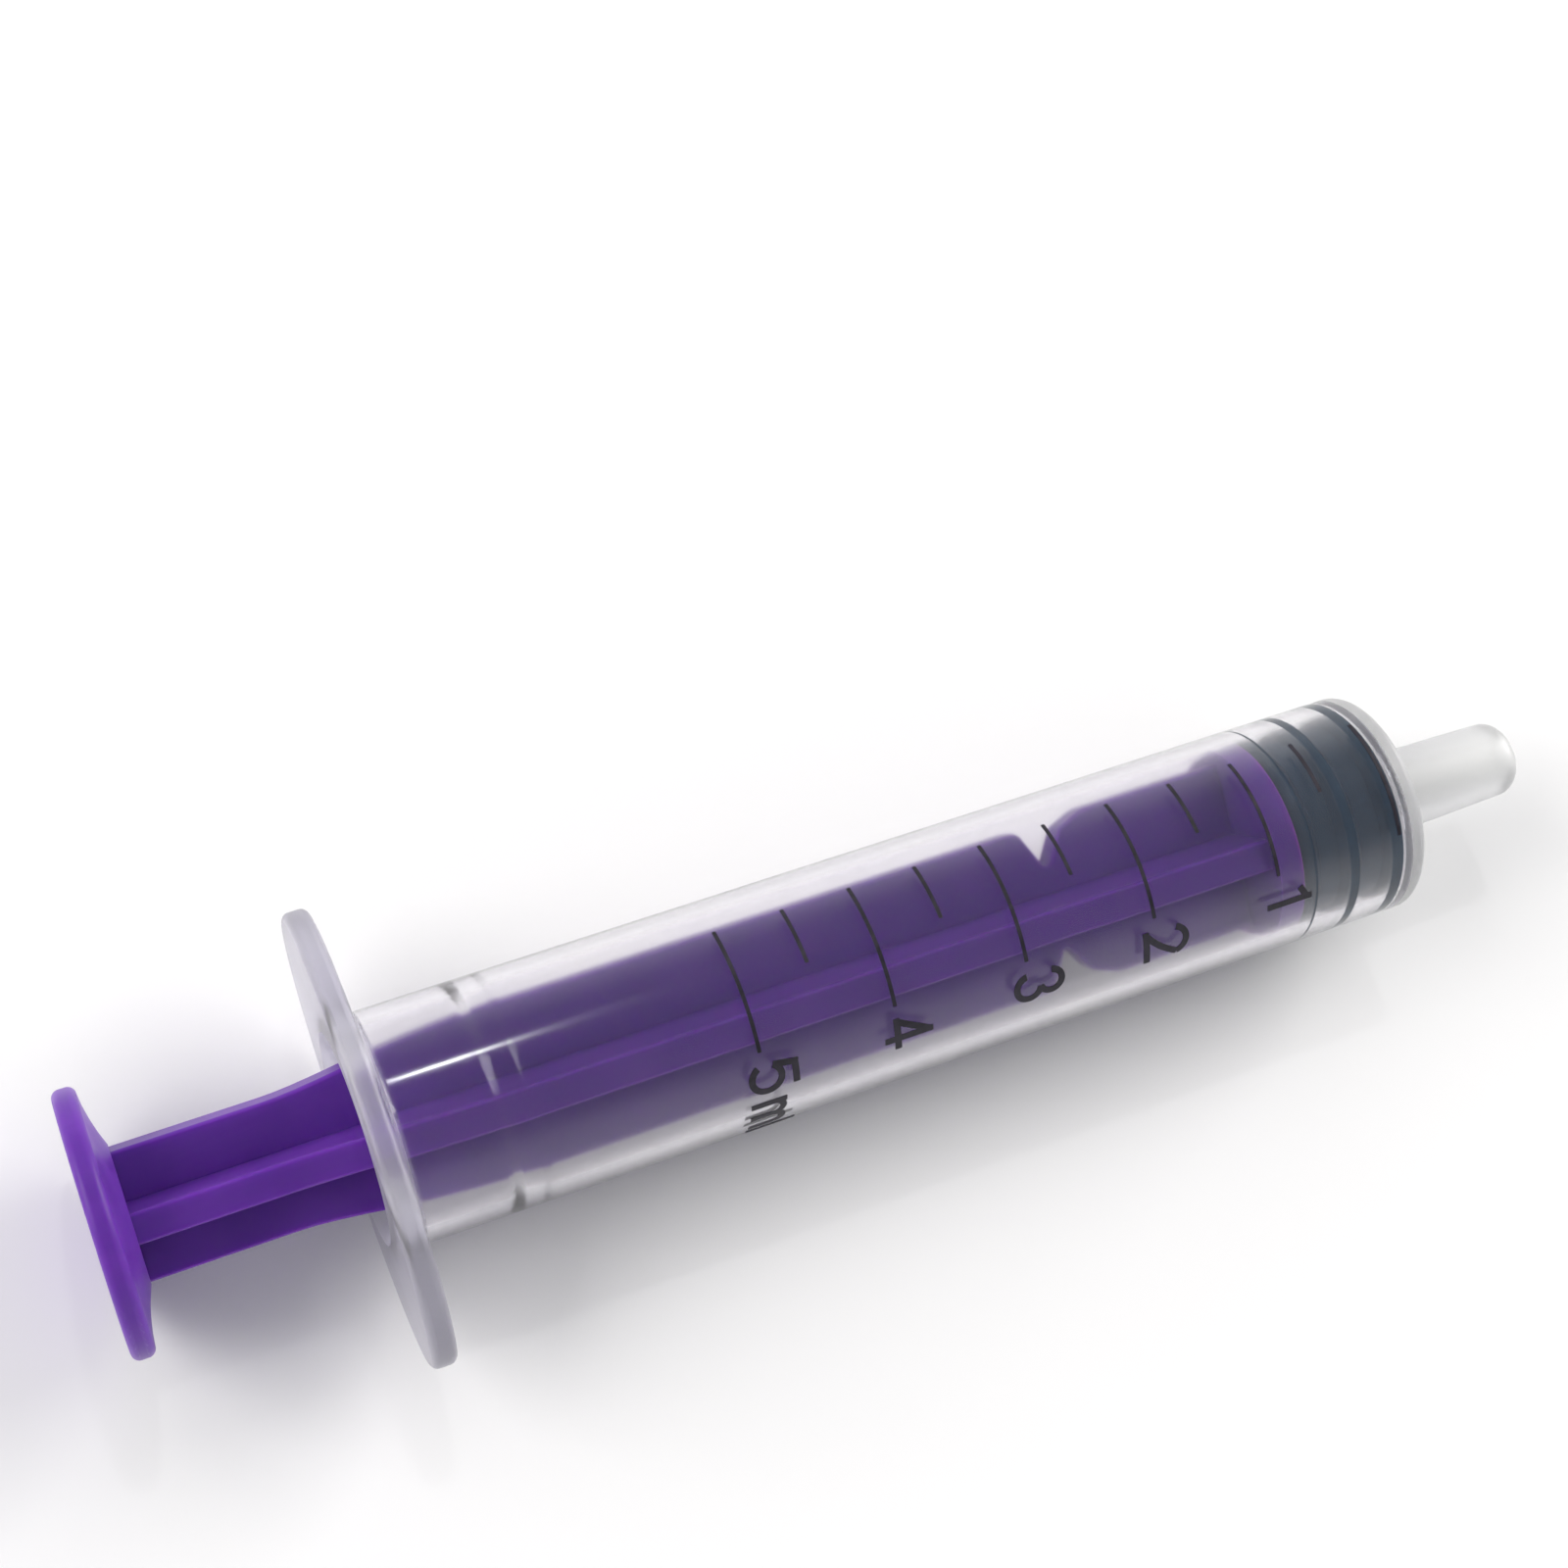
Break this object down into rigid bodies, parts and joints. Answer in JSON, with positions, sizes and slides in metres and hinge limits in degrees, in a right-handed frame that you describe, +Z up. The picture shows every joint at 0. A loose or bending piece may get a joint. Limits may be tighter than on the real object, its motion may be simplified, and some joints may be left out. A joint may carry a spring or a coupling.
{
  "type": "oral syringe",
  "caption": "Oral medicine syringe with a clear graduated barrel, finger flange, plain nozzle, cross-ribbed purple plunger rod and rubber piston seal.",
  "frame": {"origin": "under the middle of the syringe, on the surface that the thumb disc's rim rests on, with the plunger fully home", "axes": "+X runs along the barrel towards the nozzle tip, the finger flange's wings point along +Y and -Y, +Z is up and is the middle of the printed scale"},
  "size_m": [0.0932, 0.0278, 0.0158],
  "materials": {
    "clear_polypropylene": "translucent natural polypropylene, moulded, semi-gloss",
    "purple_plastic": "moulded polypropylene, satin",
    "seal_rubber": "dark grey moulded elastomer, lightly lubricated",
    "scale_ink": "printed dark ink, thin and slightly worn"
  },
  "bodies": {
    "barrel": {"barrel": "clear_polypropylene", "scale_lines_ml": "scale_ink", "scale_lines_half_ml": "scale_ink", "scale_numerals": "scale_ink", "scale_unit": "scale_ink"},
    "piston": {"piston_seal": "seal_rubber"},
    "plunger": {"plunger_rod": "purple_plastic"}
  },
  "joints": [
    {"name": "plunger_slide", "type": "slide", "parent": "barrel", "child": "piston", "axis": [-1, 0, 0], "range_m": [0, 0.048]},
    {"name": "plunger_spin", "type": "hinge", "parent": "piston", "child": "plunger", "pos_m": [0, 0, 0.0079], "axis": [1, 0, 0], "continuous": true}
  ]
}
